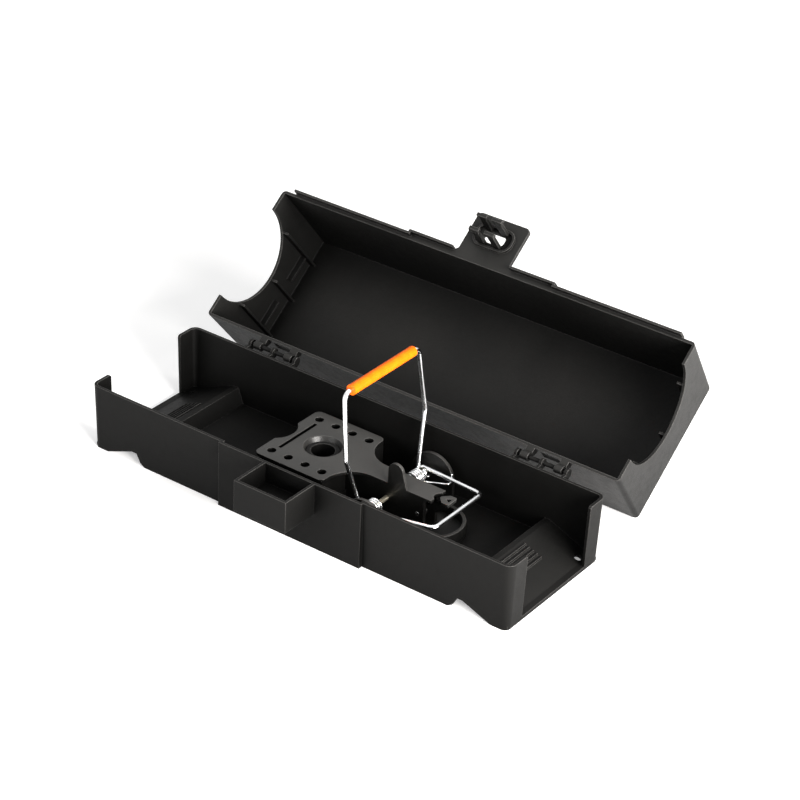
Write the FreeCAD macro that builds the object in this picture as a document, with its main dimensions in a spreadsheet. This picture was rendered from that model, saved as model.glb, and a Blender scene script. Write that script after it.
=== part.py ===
"""Mouse-trap station: a moulded tunnel box with a hinged lid and a spring snap trap inside.

X runs along the tunnel, Y across it (the latch is at -Y, the hinge at +Y) and Z is up.
The origin is the centre of the tray on the surface that it stands on. Sizes are millimetres.
The lid is drawn shut and then turned open about its hinge. The trap is drawn in its own
frame, with X from the axle, Y from the trap's centreline and Z from its underside.
"""
import FreeCAD, Part
import Sketcher
import math
import os

Vector = FreeCAD.Vector
doc = FreeCAD.newDocument("trap_station")
sheet = doc.addObject("Spreadsheet::Sheet", "sizes")

SIZES = [
    # the tray
    ("tray_length", 265.0), ("tray_width", 83.0), ("tray_height", 37.5), ("tray_wall", 1.6),
    ("tray_draft", 1.5), ("corner_round", 3.5), ("floor_thickness", 1.8), ("well_thickness", 3.2),
    ("well_inset", 36.8), ("crest_inset", 31.5), ("crest_flat", 1.6), ("crest_height", 12.0),
    ("sill_height", 2.0), ("doorway_width", 55.0), ("doorway_chamfer", 0.9),
    ("notch_outer", 10.2), ("notch_peak", 27.0), ("notch_inner", 35.7), ("notch_height", 6.7),
    ("step_half_length", 45.0), ("step_out", 1.5),
    ("ridge_count", 5.0), ("ridge_pitch", 2.4), ("ridge_height", 0.7), ("ridge_width", 0.7),
    ("ridge_length", 28.0), ("ridge_inset", 27.6),
    ("screw_hole_radius", 2.0), ("screw_inset_x", 7.5), ("screw_inset_y", 10.0),
    # the latch pocket on the tray's front wall
    ("pocket_width", 32.6), ("pocket_beyond", 8.9), ("pocket_depth", 17.5), ("pocket_floor_drop", 11.0),
    ("catch_hole_width", 17.0), ("catch_hole_length", 13.8),
    # the hinge
    ("hinge_reach", 5.6), ("hinge_drop", 0.3), ("pin_radius", 1.2), ("knuckle_radius", 2.4),
    ("hinge_clearance", 0.06), ("hinge_inset_left", 40.5), ("hinge_inset_right", 52.0),
    ("knuckle_width", 4.6),
    ("knuckle_spacing", 20.5), ("ear_thickness", 1.8), ("ear_overhang", 4.8),
    ("window_width", 11.0), ("window_height", 6.0),
    # the lid
    ("open_angle", 142.0), ("lid_gap", 0.3), ("lid_height", 52.4), ("lid_wall", 1.6),
    ("lid_end_lean", 4.9), ("lid_side_lean", 0.7), ("lid_round", 2.5), ("arch_radius", 28.4),
    ("lip_thickness", 1.2), ("lip_drop", 3.2), ("lip_rise", 2.2), ("lip_clearance", 0.35),
    ("bulge_start", 18.2), ("bulge_end", 46.8),
    ("rib_thickness", 1.2), ("rib_depth", 3.6), ("rib_spacing", 24.0), ("rib_low", 22.0),
    ("cross_rib_height", 40.0),
    ("tab_root_half", 19.0), ("tab_tip_half", 16.4), ("tab_beyond", 11.9), ("tab_thickness", 2.0),
    ("tab_round", 2.5), ("collar_length", 24.0), ("collar_width", 13.6),
    ("collar_wall", 1.3), ("collar_height", 1.6),
    ("keyhole_half_x", 6.4), ("keyhole_half_y", 3.15), ("lip_inset", 8.5), ("latch_reach", 15.3), ("finger_width", 4.2), ("barb_width", 6.2),
    ("finger_thickness", 1.8),
    ("finger_spacing_x", 9.6), ("finger_spacing_y", 8.4), ("finger_length", 15.6),
    ("barb_reach", 0.7), ("barb_height", 2.0),
    # where the trap stands
    ("trap_x", 30.7), ("trap_y", 4.4),
    # the trap's moulded base
    ("deck_height", 21.6), ("deck_thickness", 1.6), ("trap_wall", 1.7), ("head_left", 69.6),
    ("head_right", 25.4), ("head_half", 26.8), ("head_round", 3.5), ("scallop_radius", 15.9),
    ("spine_half", 6.3), ("spine_end", 27.1), ("spine_notch", 3.4), ("notch_half", 9.4),
    ("head_notch_radius", 12.2), ("cup_x", 45.6), ("cup_radius", 10.3), ("cup_depth", 3.5),
    ("cup_ledge", 1.7), ("hole_radius", 2.4), ("hole_first", 63.4), ("hole_pitch", 10.8),
    ("hole_row", 19.8), ("slot_x", 62.0), ("slot_half", 15.2), ("slot_width", 2.0),
    ("shoe_wall", 1.8), ("shoe_height", 6.8), ("shoe_floor", 1.8), ("nose_x", 25.0),
    ("nose_radius", 16.5), ("cheek_inner", 28.2), ("cheek_thickness", 1.8), ("cheek_x", 3.6),
    ("cheek_radius", 13.0), ("cheek_top", 10.5),
    ("lug_x", 5.0), ("lug_half", 4.5), ("lug_height", 12.5), ("lug_thickness", 1.6),
    ("boss_radius", 2.4), ("web_inner", 4.2), ("web_end", 23.0), ("boss_end", 16.5),
    # the axle, the bail and its springs
    ("axle_radius", 1.3), ("axle_height", 12.4), ("axle_clearance", 0.06),
    ("wire_radius", 1.2), ("running_gap", 0.35), ("eye_inner", 23.5), ("eye_pitch", 2.95),
    ("bar_height", 67.3), ("bar_setback", 10.4), ("bar_half", 30.6), ("knee_height", 31.7),
    ("knee_half", 33.2), ("bend_radius", 4.2), ("knee_bend", 6.0), ("striker_reach", 39.4),
    ("striker_half", 20.4), ("striker_rise", 5.2), ("corner_bend", 3.4),
    ("grip_length", 51.0), ("grip_radius", 2.8), ("grip_clearance", 0.05),
    ("wire_sides", 12.0), ("spring_sides", 8.0), ("spring_wire", 0.6), ("coil_radius", 3.65), ("coil_turns", 3.75), ("coil_pitch", 1.65),
    ("coil_start", 15.4), ("leg_length", 17.0), ("leg_slope", 14.7),
    ("leg_bend", 1.3), ("foot_gap", 0.3),
    # the trigger pedal, its pin and the bait cup
    ("pedal_start", 28.8), ("pedal_end", 36.2), ("pedal_half", 4.1), ("pedal_thickness", 1.5),
    ("pivot_x", 19.3), ("pivot_height", 10.8), ("pivot_radius", 1.0), ("lever_half", 3.0),
    ("hub_radius", 2.7), ("cup_wall", 1.1), ("cup_bore", 6.4), ("cup_clearance", 0.1), ("cup_floor", 5.0),
]


class Size:
    """A number together with the expression that ties it to the sheet."""

    def __init__(self, value, text):
        self.value = value
        self.text = text

    def __add__(self, other):
        other = as_size(other)
        return Size(self.value + other.value, f"({self.text} + {other.text})")

    def __sub__(self, other):
        other = as_size(other)
        return Size(self.value - other.value, f"({self.text} - {other.text})")

    def __mul__(self, other):
        other = as_size(other)
        return Size(self.value * other.value, f"({self.text} * {other.text})")

    def __truediv__(self, other):
        other = as_size(other)
        return Size(self.value / other.value, f"({self.text} / {other.text})")

    def __neg__(self):
        return Size(-self.value, f"(0 - {self.text})")

    __radd__ = __add__
    __rmul__ = __mul__

    def __rsub__(self, other):
        return as_size(other) - self


def as_size(number):
    return number if isinstance(number, Size) else Size(float(number), repr(float(number)))


def root(size):
    return Size(math.sqrt(size.value), f"sqrt({size.text})")


def tangent(size):
    return Size(math.tan(math.radians(size.value)), f"tan({size.text} * 1deg)")


class Names:
    """The sheet's sizes by name, such as s.tray_length."""


s = Names()
for row, (alias, value) in enumerate(SIZES, 1):
    sheet.set(f"A{row}", alias)
    sheet.set(f"B{row}", str(value))
    sheet.setAlias(f"B{row}", alias)
    setattr(s, alias, Size(value, f"{sheet.Name}.{alias}"))
doc.recompute()


# ---------------------------------------------------------------- drawing helpers
def bind(thing, prop, size):
    """Sets a property to a size and keeps the expression with it."""
    thing.setExpression(prop, as_size(size).text)


def near(a, b, within=0.02):
    return abs(a - b) < within


def new_body(name):
    body = doc.addObject("PartDesign::Body", name)
    body.Label = name
    return body


def sketch(body, plane, name, lift=0.0):
    """A sketch on one of the body's origin planes, lifted along the plane's normal."""
    drawing = body.newObject("Sketcher::SketchObject", name)
    support = [f for f in body.Origin.OriginFeatures if f.Role == plane][0]
    drawing.AttachmentSupport = [(support, "")]
    drawing.MapMode = "FlatFace"
    bind(drawing, "AttachmentOffset.Base.z", lift)
    return drawing


def hold(drawing, index, end, kind, size):
    """Holds one end of a line or arc, or a centre (end 3), at a distance from one axis."""
    if size.value == 0.0:
        axis = -2 if kind == "DistanceX" else -1
        drawing.addConstraint(Sketcher.Constraint("PointOnObject", index, end, axis))
    else:
        number = drawing.addConstraint(Sketcher.Constraint(kind, -1, 1, index, end, size.value))
        bind(drawing, f"Constraints[{number}]", size)


def pin_down(drawing, index, end, x, y):
    hold(drawing, index, end, "DistanceX", x)
    hold(drawing, index, end, "DistanceY", y)


def arc_between(start, end, radius):
    """The short arc from start to end: a positive radius turns left, a negative one right."""
    middle = (start + end) * 0.5
    across = end - start
    half = across.Length / 2
    side = Vector(-across.y, across.x, 0).normalize()
    offset = math.sqrt(max(radius * radius - half * half, 0.0))
    centre = middle + side * (offset if radius > 0 else -offset)
    first, last = (start, end) if radius > 0 else (end, start)
    angles = [math.atan2(p.y - centre.y, p.x - centre.x) for p in (first, last)]
    return Part.ArcOfCircle(Part.Circle(centre, Vector(0, 0, 1), abs(radius)), *angles)


def outline(drawing, corners):
    """A closed outline. A corner is (x, y), or (x, y, radius, turn) where an arc leaves it."""
    corners = [tuple(as_size(v) for v in c[:3]) + tuple(c[3:]) for c in corners]
    spots = [Vector(c[0].value, c[1].value, 0) for c in corners]
    starts, ends = [], []
    for i, corner in enumerate(corners):
        here, there = spots[i], spots[(i + 1) % len(spots)]
        if len(corner) == 2:
            index = drawing.addGeometry(Part.LineSegment(here, there), False)
            starts.append((index, 1))
            ends.append((index, 2))
            continue
        radius, turn = corner[2], corner[3]
        index = drawing.addGeometry(arc_between(here, there, radius.value * turn), False)
        starts.append((index, 1 if turn > 0 else 2))
        ends.append((index, 2 if turn > 0 else 1))
    for i, corner in enumerate(corners):
        follow = starts[(i + 1) % len(starts)]
        drawing.addConstraint(Sketcher.Constraint("Coincident", *ends[i], *follow))
        pin_down(drawing, *starts[i], corner[0], corner[1])
        if len(corner) == 2:
            continue
        index, there = starts[i][0], spots[(i + 1) % len(spots)]
        if near(spots[i].distanceToPoint(there), 2 * corner[2].value, 1e-6):
            # a half circle: its centre is held level with its ends instead
            upright = near(spots[i].x, there.x, 1e-6)
            hold(drawing, index, 3, "DistanceX" if upright else "DistanceY", corner[0] if upright else corner[1])
            continue
        number = drawing.addConstraint(Sketcher.Constraint("Radius", index, corner[2].value))
        bind(drawing, f"Constraints[{number}]", corner[2])
    return drawing


def circle(drawing, x, y, radius):
    x, y, radius = as_size(x), as_size(y), as_size(radius)
    index = drawing.addGeometry(Part.Circle(Vector(x.value, y.value, 0), Vector(0, 0, 1), radius.value), False)
    pin_down(drawing, index, 3, x, y)
    number = drawing.addConstraint(Sketcher.Constraint("Radius", index, radius.value))
    bind(drawing, f"Constraints[{number}]", radius)
    return drawing


def box(drawing, x0, y0, x1, y1):
    return outline(drawing, [(x0, y0), (x1, y0), (x1, y1), (x0, y1)])


def rounded_box(drawing, half_x, half_y, radius, centre_y=0.0):
    """A box with round corners about the origin, or about a point along Y."""
    x, y, r, c = as_size(half_x), as_size(half_y), as_size(radius), as_size(centre_y)
    return outline(drawing, [
        (r - x, c - y), (x - r, c - y, r, 1), (x, c + r - y), (x, c + y - r, r, 1),
        (x - r, c + y), (r - x, c + y, r, 1), (-x, c + y - r), (-x, c + r - y, r, 1)])


def pad(body, drawing, length, middle=False, back=False, taper=None):
    feature = body.newObject("PartDesign::Pad", drawing.Name + "_pad")
    feature.Profile = drawing
    bind(feature, "Length", length)
    if middle:
        feature.SideType = "Symmetric"
    feature.Reversed = back
    if taper is not None:
        bind(feature, "TaperAngle", taper)
    drawing.Visibility = False
    doc.recompute()
    return feature


def pocket(body, drawing, length=None, middle=False, back=False, taper=None):
    """Cuts a drawing away, through everything if it has no length, and checks that it did."""
    before = body.Shape.Volume
    feature = body.newObject("PartDesign::Pocket", drawing.Name + "_cut")
    feature.Profile = drawing
    if length is None:
        feature.Type = "ThroughAll"
    else:
        bind(feature, "Length", length)
    if middle:
        feature.SideType = "Symmetric"
    feature.Reversed = back
    if taper is not None:
        bind(feature, "TaperAngle", taper)
    drawing.Visibility = False
    doc.recompute()
    if body.Shape.Volume >= before - 1e-6:
        raise RuntimeError(f"{drawing.Name} cuts nothing from {body.Label}")
    return feature


def revolve(body, drawing):
    """Turns a drawing once about its own upright axis."""
    feature = body.newObject("PartDesign::Revolution", drawing.Name + "_turn")
    feature.Profile = drawing
    feature.ReferenceAxis = (drawing, ["V_Axis"])
    feature.Angle = 360.0
    drawing.Visibility = False
    doc.recompute()
    return feature


def shell_out(body, wall, test):
    """Hollows the body to a wall of one thickness, open at the faces that pass the test."""
    names = [f"Face{i}" for i, face in enumerate(body.Shape.Faces, 1) if test(face)]
    before = body.Tip
    feature = body.newObject("PartDesign::Thickness", body.Name + "_shell")
    feature.Base = (before, names)
    bind(feature, "Value", wall)
    feature.Reversed = True
    doc.recompute()
    return feature


def edges_where(body, test):
    """Names of the body's edges whose every end and middle passes the test."""
    names = []
    for number, edge in enumerate(body.Shape.Edges, 1):
        middle = edge.valueAt((edge.FirstParameter + edge.LastParameter) / 2)
        if all(test(p) for p in [v.Point for v in edge.Vertexes] + [middle]):
            names.append(f"Edge{number}")
    return names


def round_edges(body, radius, test, kind="Fillet"):
    names = edges_where(body, test)
    if not names:
        raise RuntimeError(f"{body.Label} has no edge to round")
    before = body.Tip
    feature = body.newObject(f"PartDesign::{kind}", f"{body.Name}_{kind.lower()}")
    feature.Base = (before, names)
    bind(feature, "Radius" if kind == "Fillet" else "Size", radius)
    doc.recompute()
    return feature


# ---------------------------------------------------------------- derived places
HALF_LENGTH = s.tray_length / 2
HALF_WIDTH = s.tray_width / 2
WELL_FLOOR = s.well_thickness
CREST = HALF_LENGTH - s.crest_inset
RIM = s.tray_height + s.lid_gap
ROOF = RIM + s.lid_height
HINGE_Y = HALF_WIDTH + s.hinge_reach
HINGE_Z = s.tray_height - s.hinge_drop
LATCH_Y = -HALF_WIDTH - s.latch_reach
HINGE_GROUPS = (s.hinge_inset_left - HALF_LENGTH, HALF_LENGTH - s.hinge_inset_right)


# ---------------------------------------------------------------- the tray
def floor_line():
    """The underside and the top of the floor's right half, from the well to the doorway."""
    over = [
        (HALF_LENGTH - s.well_inset, WELL_FLOOR), (CREST - s.crest_flat, s.crest_height),
        (CREST + s.crest_flat, s.crest_height), (HALF_LENGTH - s.tray_wall * 3, s.sill_height),
        (HALF_LENGTH - s.tray_wall * 0.85, s.sill_height)]
    return [(over[0][0], as_size(0.0))] + [(x, z - s.floor_thickness) for x, z in over[1:]], over


def make_tray():
    body = new_body("base_tray")
    foot = s.tray_height * tangent(s.tray_draft)

    walls = rounded_box(sketch(body, "XY_Plane", "tray_foot"),
                        HALF_LENGTH - foot, HALF_WIDTH - foot, s.corner_round)
    pad(body, walls, s.tray_height, taper=s.tray_draft)
    hollow = rounded_box(sketch(body, "XY_Plane", "tray_hollow"), HALF_LENGTH - foot - s.tray_wall,
                         HALF_WIDTH - foot - s.tray_wall, s.corner_round - s.tray_wall)
    pocket(body, hollow, back=True, taper=s.tray_draft, length=s.tray_height)

    # the front wall steps out around the latch
    step = box(sketch(body, "XY_Plane", "front_step"), -s.step_half_length,
               -HALF_WIDTH - s.step_out, s.step_half_length, s.tray_wall - HALF_WIDTH)
    pad(body, step, s.tray_height)
    recess = box(sketch(body, "XY_Plane", "front_recess", WELL_FLOOR),
                 s.tray_wall - s.step_half_length, s.tray_wall - HALF_WIDTH - s.step_out,
                 s.step_half_length - s.tray_wall, s.tray_wall * 2 - HALF_WIDTH)
    pocket(body, recess, back=True, length=s.tray_height)

    # the floor: a sunk well, a crest at each end of it and a ramp out of each doorway
    under, over = floor_line()
    profile = outline(sketch(body, "XZ_Plane", "floor_profile"),
                      under + over[::-1] + [(-x, z) for x, z in over] + [(-x, z) for x, z in under[::-1]])
    pad(body, profile, s.tray_width - s.tray_wall * 2 + s.tray_wall / 2 - foot * 2, middle=True)

    for side, name in ((1, "right"), (-1, "left")):
        # the walls' lower edges rise under each crest
        outer, peak, inner = (HALF_LENGTH - inset for inset in (s.notch_outer, s.notch_peak, s.notch_inner))
        notch = outline(sketch(body, "XZ_Plane", f"notch_{name}"), [
            (side * outer, -1.0), (side * outer, 0.0), (side * peak, s.notch_height),
            (side * (peak - s.crest_flat * 2), s.notch_height),
            (side * (inner + s.crest_flat * 1.8), s.notch_height * 0.27), (side * inner, 0.0), (side * inner, -1.0)])
        pocket(body, notch, middle=True, length=s.tray_width * 2)
        # the doorway, with its top corners cut off
        half, cut = s.doorway_width / 2, s.doorway_chamfer
        door = outline(sketch(body, "YZ_Plane", f"doorway_{name}", side * (HALF_LENGTH - s.tray_wall * 2.5)), [
            (-half, s.sill_height), (half, s.sill_height), (half, s.tray_height - cut),
            (half + cut, s.tray_height), (half + cut, s.tray_height + 1.0),
            (-half - cut, s.tray_height + 1.0), (-half - cut, s.tray_height), (-half, s.tray_height - cut)])
        pocket(body, door, back=side > 0, length=s.tray_wall * 4)
        # grip ridges across the ramp
        run = HALF_LENGTH - s.tray_wall * 3 - CREST - s.crest_flat
        slope = (s.crest_height - s.sill_height) / run
        for i in range(int(s.ridge_count.value)):
            x = HALF_LENGTH - s.ridge_inset + s.ridge_pitch * i
            z = s.crest_height - slope * (x - CREST - s.crest_flat)
            ridge = outline(sketch(body, "XZ_Plane", f"ridge_{name}_{i}"), [
                (side * (x - s.ridge_width), z - s.floor_thickness / 2),
                (side * (x + s.ridge_width), z - s.floor_thickness / 2),
                (side * (x + s.ridge_width / 2), z + s.ridge_height),
                (side * (x - s.ridge_width / 2), z + s.ridge_height)])
            pad(body, ridge, s.ridge_length, middle=True)

    holes = sketch(body, "XY_Plane", "screw_holes")
    for i in (-1, 1):
        for j in (-1, 1):
            circle(holes, i * (HALF_LENGTH - s.screw_inset_x), j * (HALF_WIDTH - s.screw_inset_y), s.screw_hole_radius)
    pocket(body, holes, back=True, length=s.crest_height)

    # the latch pocket
    wide = s.pocket_width / 2
    front = LATCH_Y - s.pocket_beyond
    shell = box(sketch(body, "XY_Plane", "pocket_shell", s.tray_height - s.pocket_depth),
                -wide, front, wide, -HALF_WIDTH - s.step_out / 2)
    pad(body, shell, s.pocket_depth)
    inside = (s.tray_wall - wide, front + s.tray_wall, wide - s.tray_wall, -HALF_WIDTH - s.step_out)
    well = box(sketch(body, "XY_Plane", "pocket_well", s.tray_height), *inside)
    pocket(body, well, s.pocket_floor_drop)
    below = box(sketch(body, "XY_Plane", "pocket_below", s.tray_height - s.pocket_depth), *inside)
    pocket(body, below, s.pocket_depth - s.pocket_floor_drop - s.tray_wall, back=True)
    hole = s.catch_hole_width / 2
    catch = box(sketch(body, "XY_Plane", "catch_hole", s.tray_height), -hole,
                LATCH_Y - s.catch_hole_length / 2, hole, LATCH_Y + s.catch_hole_length / 2)
    pocket(body, catch, s.pocket_depth)

    # hinge ears and the round pin between them
    z = HINGE_Z
    for group, left in enumerate(HINGE_GROUPS):
        for i, reach in enumerate((-s.ear_overhang, s.knuckle_spacing / 2,
                                   s.knuckle_spacing + s.ear_overhang)):
            ear = outline(sketch(body, "YZ_Plane", f"ear_{group}_{i}", left + reach), [
                (HALF_WIDTH - s.tray_wall, z - s.knuckle_radius * 2.6),
                (HINGE_Y + s.knuckle_radius * 0.7, z - s.knuckle_radius * 0.9),
                (HINGE_Y + s.knuckle_radius, z, s.knuckle_radius, 1),
                (HINGE_Y - s.knuckle_radius, z),
                (HALF_WIDTH - s.tray_wall, z)])
            pad(body, ear, s.ear_thickness, middle=True)
        pin = circle(sketch(body, "YZ_Plane", f"pin_{group}", left - s.ear_overhang), HINGE_Y, z, s.pin_radius)
        pad(body, pin, s.knuckle_spacing + s.ear_overhang * 2)
    return body



# ---------------------------------------------------------------- the lid
def lid_end(z):
    """Half the lid's inside length at a height above its rim."""
    return HALF_LENGTH - s.lid_wall - s.lid_end_lean * z / s.lid_height


def make_lip(body, name, start, end, out, thick):
    """A strip that hangs outside the tray's front wall, out beyond its face."""
    inner = -HALF_WIDTH - s.lip_clearance - out
    wall = s.lid_wall / 2 - HALF_WIDTH
    profile = outline(sketch(body, "YZ_Plane", name, start), [
        (inner - thick, RIM - s.lip_drop), (inner, RIM - s.lip_drop), (inner, RIM), (wall, RIM),
        (wall, RIM + s.lip_rise + 0.8), (inner - thick, RIM + s.lip_rise)])
    pad(body, profile, end - start)


def make_lid():
    body = new_body("station_lid")
    wall, lean = s.lid_wall, s.lid_end_lean
    section = outline(sketch(body, "YZ_Plane", "lid_section"), [
        (-HALF_WIDTH, RIM), (HALF_WIDTH, RIM), (HALF_WIDTH - s.lid_side_lean, ROOF),
        (s.lid_side_lean - HALF_WIDTH, ROOF)])
    pad(body, section, s.tray_length, middle=True)
    for side, name in ((1, "right"), (-1, "left")):
        wedge = outline(sketch(body, "XZ_Plane", f"lean_{name}"), [
            (side * HALF_LENGTH, RIM), (side * (HALF_LENGTH + 1.0), RIM),
            (side * (HALF_LENGTH + 1.0), ROOF + 1.0), (side * (HALF_LENGTH - lean), ROOF + 1.0),
            (side * (HALF_LENGTH - lean), ROOF)])
        pocket(body, wedge, middle=True, length=s.tray_width * 2)
    shell_out(body, wall, lambda face: near(face.CenterOfMass.z, RIM.value))

    def at_edge(p):
        side = abs(p.y) > HALF_WIDTH.value - s.lid_side_lean.value - 0.01
        end = HALF_LENGTH.value - lean.value * (p.z - RIM.value) / s.lid_height.value
        return near(p.z, ROOF.value) or side and near(abs(p.x), end)

    round_edges(body, s.lid_round, at_edge)
    arch = circle(sketch(body, "YZ_Plane", "lid_arches"), 0.0, RIM, s.arch_radius)
    pocket(body, arch, middle=True, length=s.tray_length * 2)

    # ribs inside each end wall
    for side, name in ((1, "right"), (-1, "left")):
        for i, y in enumerate((-s.rib_spacing, as_size(0.0), s.rib_spacing)):
            low = root(s.arch_radius * s.arch_radius - y * y) + s.rib_thickness
            high = s.lid_height - wall / 2
            skin = wall / 2
            rib = outline(sketch(body, "XZ_Plane", f"rib_{name}_{i}", -y), [
                (side * (lid_end(low) + skin), RIM + low), (side * (lid_end(low) - s.rib_depth), RIM + low),
                (side * (lid_end(high) - s.rib_depth), RIM + high), (side * (lid_end(high) + skin), RIM + high)])
            pad(body, rib, s.rib_thickness, middle=True)
        reach = lid_end(s.cross_rib_height)
        for i, turn in enumerate((-1, 1)):
            shelf = box(sketch(body, "XY_Plane", f"shelf_{name}_{i}", RIM + s.cross_rib_height),
                        side * (reach - s.rib_depth), turn * s.rib_depth * 2,
                        side * (reach + wall / 2), turn * (s.rib_spacing - s.rib_thickness))
            pad(body, shelf, s.rib_thickness)

    # the lip along the front, stepped out around the tray's step
    thick, end, corner = s.lip_thickness, HALF_LENGTH - s.lip_inset, s.bulge_end - s.lip_thickness
    make_lip(body, "lip_left", -end, -corner - thick / 2, 0.0, thick)
    make_lip(body, "lip_right", corner + thick / 2, end, 0.0, thick)
    make_lip(body, "lip_corner_left", -s.bulge_end, -corner, 0.0, thick + s.step_out)
    make_lip(body, "lip_corner_right", corner, s.bulge_end, 0.0, thick + s.step_out)
    make_lip(body, "lip_bulge_left", -corner - thick / 2, -s.bulge_start, s.step_out, thick)
    make_lip(body, "lip_bulge_right", s.bulge_start, corner + thick / 2, s.step_out, thick)

    # the latch tab: a plate, a ring under it with a hole inside, and four snap fingers
    back, front = s.lid_wall / 2 - HALF_WIDTH, LATCH_Y - s.tab_beyond
    tip, rootx, r = s.tab_tip_half, s.tab_root_half, s.tab_round
    plate = outline(sketch(body, "XY_Plane", "tab_plate", RIM), [
        (-rootx, back), (-rootx, back - s.tab_thickness), (-tip, back - s.tab_thickness * 2.5),
        (-tip, front + r, r, 1), (r - tip, front), (tip - r, front, r, 1), (tip, front + r),
        (tip, back - s.tab_thickness * 2.5), (rootx, back - s.tab_thickness), (rootx, back)])
    pad(body, plate, s.tab_thickness)
    half_x, half_y, wall = s.collar_length / 2, s.collar_width / 2, s.collar_wall
    round_ = half_y - 1.0
    ring = rounded_box(sketch(body, "XY_Plane", "latch_ring", RIM), half_x, half_y, round_, LATCH_Y)
    rounded_box(ring, half_x - wall, half_y - wall, round_ - wall, LATCH_Y)
    pad(body, ring, s.collar_height, back=True)
    for i in (-1, 1):
        for j in (-1, 1):
            x, y = s.finger_spacing_x / 2 * i, LATCH_Y + s.finger_spacing_y / 2 * j
            thick = s.finger_thickness / 2
            tip_z, shoulder = RIM - s.finger_length, RIM - s.finger_length + s.barb_height
            finger = box(sketch(body, "YZ_Plane", f"finger_{i + 1}_{j + 1}", x),
                         y - thick * j, shoulder - s.barb_height / 2, y + thick * j, RIM + 0.5)
            pad(body, finger, s.finger_width, middle=True)
            barb = outline(sketch(body, "YZ_Plane", f"barb_{i + 1}_{j + 1}", x), [
                (y - thick * j, shoulder), (y - thick * j, tip_z), (y + thick * j, tip_z),
                (y + (thick + s.barb_reach) * j, shoulder - 0.4), (y + (thick + s.barb_reach) * j, shoulder)])
            pad(body, barb, s.barb_width, middle=True)
    keyhole = rounded_box(sketch(body, "XY_Plane", "keyhole", RIM + s.tab_thickness),
                          s.keyhole_half_x, s.keyhole_half_y, s.keyhole_half_y * 0.8, LATCH_Y)
    pocket(body, keyhole, s.tab_thickness + 1.0)

    # knuckles that turn on the tray's pins, with a window between each pair
    for group, left in enumerate(HINGE_GROUPS):
        for i, x in enumerate((left, left + s.knuckle_spacing)):
            knuckle = outline(sketch(body, "YZ_Plane", f"knuckle_{group}_{i}", x), [
                (HINGE_Y, HINGE_Z - s.knuckle_radius, s.knuckle_radius, 1),
                (HINGE_Y, HINGE_Z + s.knuckle_radius),
                (HALF_WIDTH - s.lid_wall / 2, RIM + s.knuckle_radius * 2),
                (HALF_WIDTH - s.lid_wall / 2, RIM), (HINGE_Y - s.knuckle_radius, RIM),
                (HINGE_Y - s.knuckle_radius, HINGE_Z, s.knuckle_radius, 1)])
            pad(body, knuckle, s.knuckle_width, middle=True)
            bore = circle(sketch(body, "YZ_Plane", f"knuckle_bore_{group}_{i}", x),
                          HINGE_Y, HINGE_Z, s.pin_radius + s.hinge_clearance)
            pocket(body, bore, middle=True, length=s.knuckle_width + 1.0)
        middle = left + s.knuckle_spacing / 2
        window = box(sketch(body, "XZ_Plane", f"window_{group}", -HALF_WIDTH - 1.0),
                     middle - s.window_width / 2, RIM + s.lip_rise,
                     middle + s.window_width / 2, RIM + s.lip_rise + s.window_height)
        pocket(body, window, s.lid_wall * 2 + 1.0, back=True)
    return body


def turn_open(body):
    """Turns the lid back about its hinge."""
    hinge = Vector(0, HINGE_Y.value, HINGE_Z.value)
    turn = FreeCAD.Rotation(Vector(1, 0, 0), -s.open_angle.value)
    body.Placement = FreeCAD.Placement(Vector(0, 0, 0), turn, hinge)


# ---------------------------------------------------------------- the trap's moulded parts
def place_trap(thing):
    """Stands a piece that is drawn in the trap's frame in the tray."""
    for axis, size in (("x", s.trap_x), ("y", s.trap_y), ("z", WELL_FLOOR)):
        thing.setExpression(f"Placement.Base.{axis}", size.text)


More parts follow.
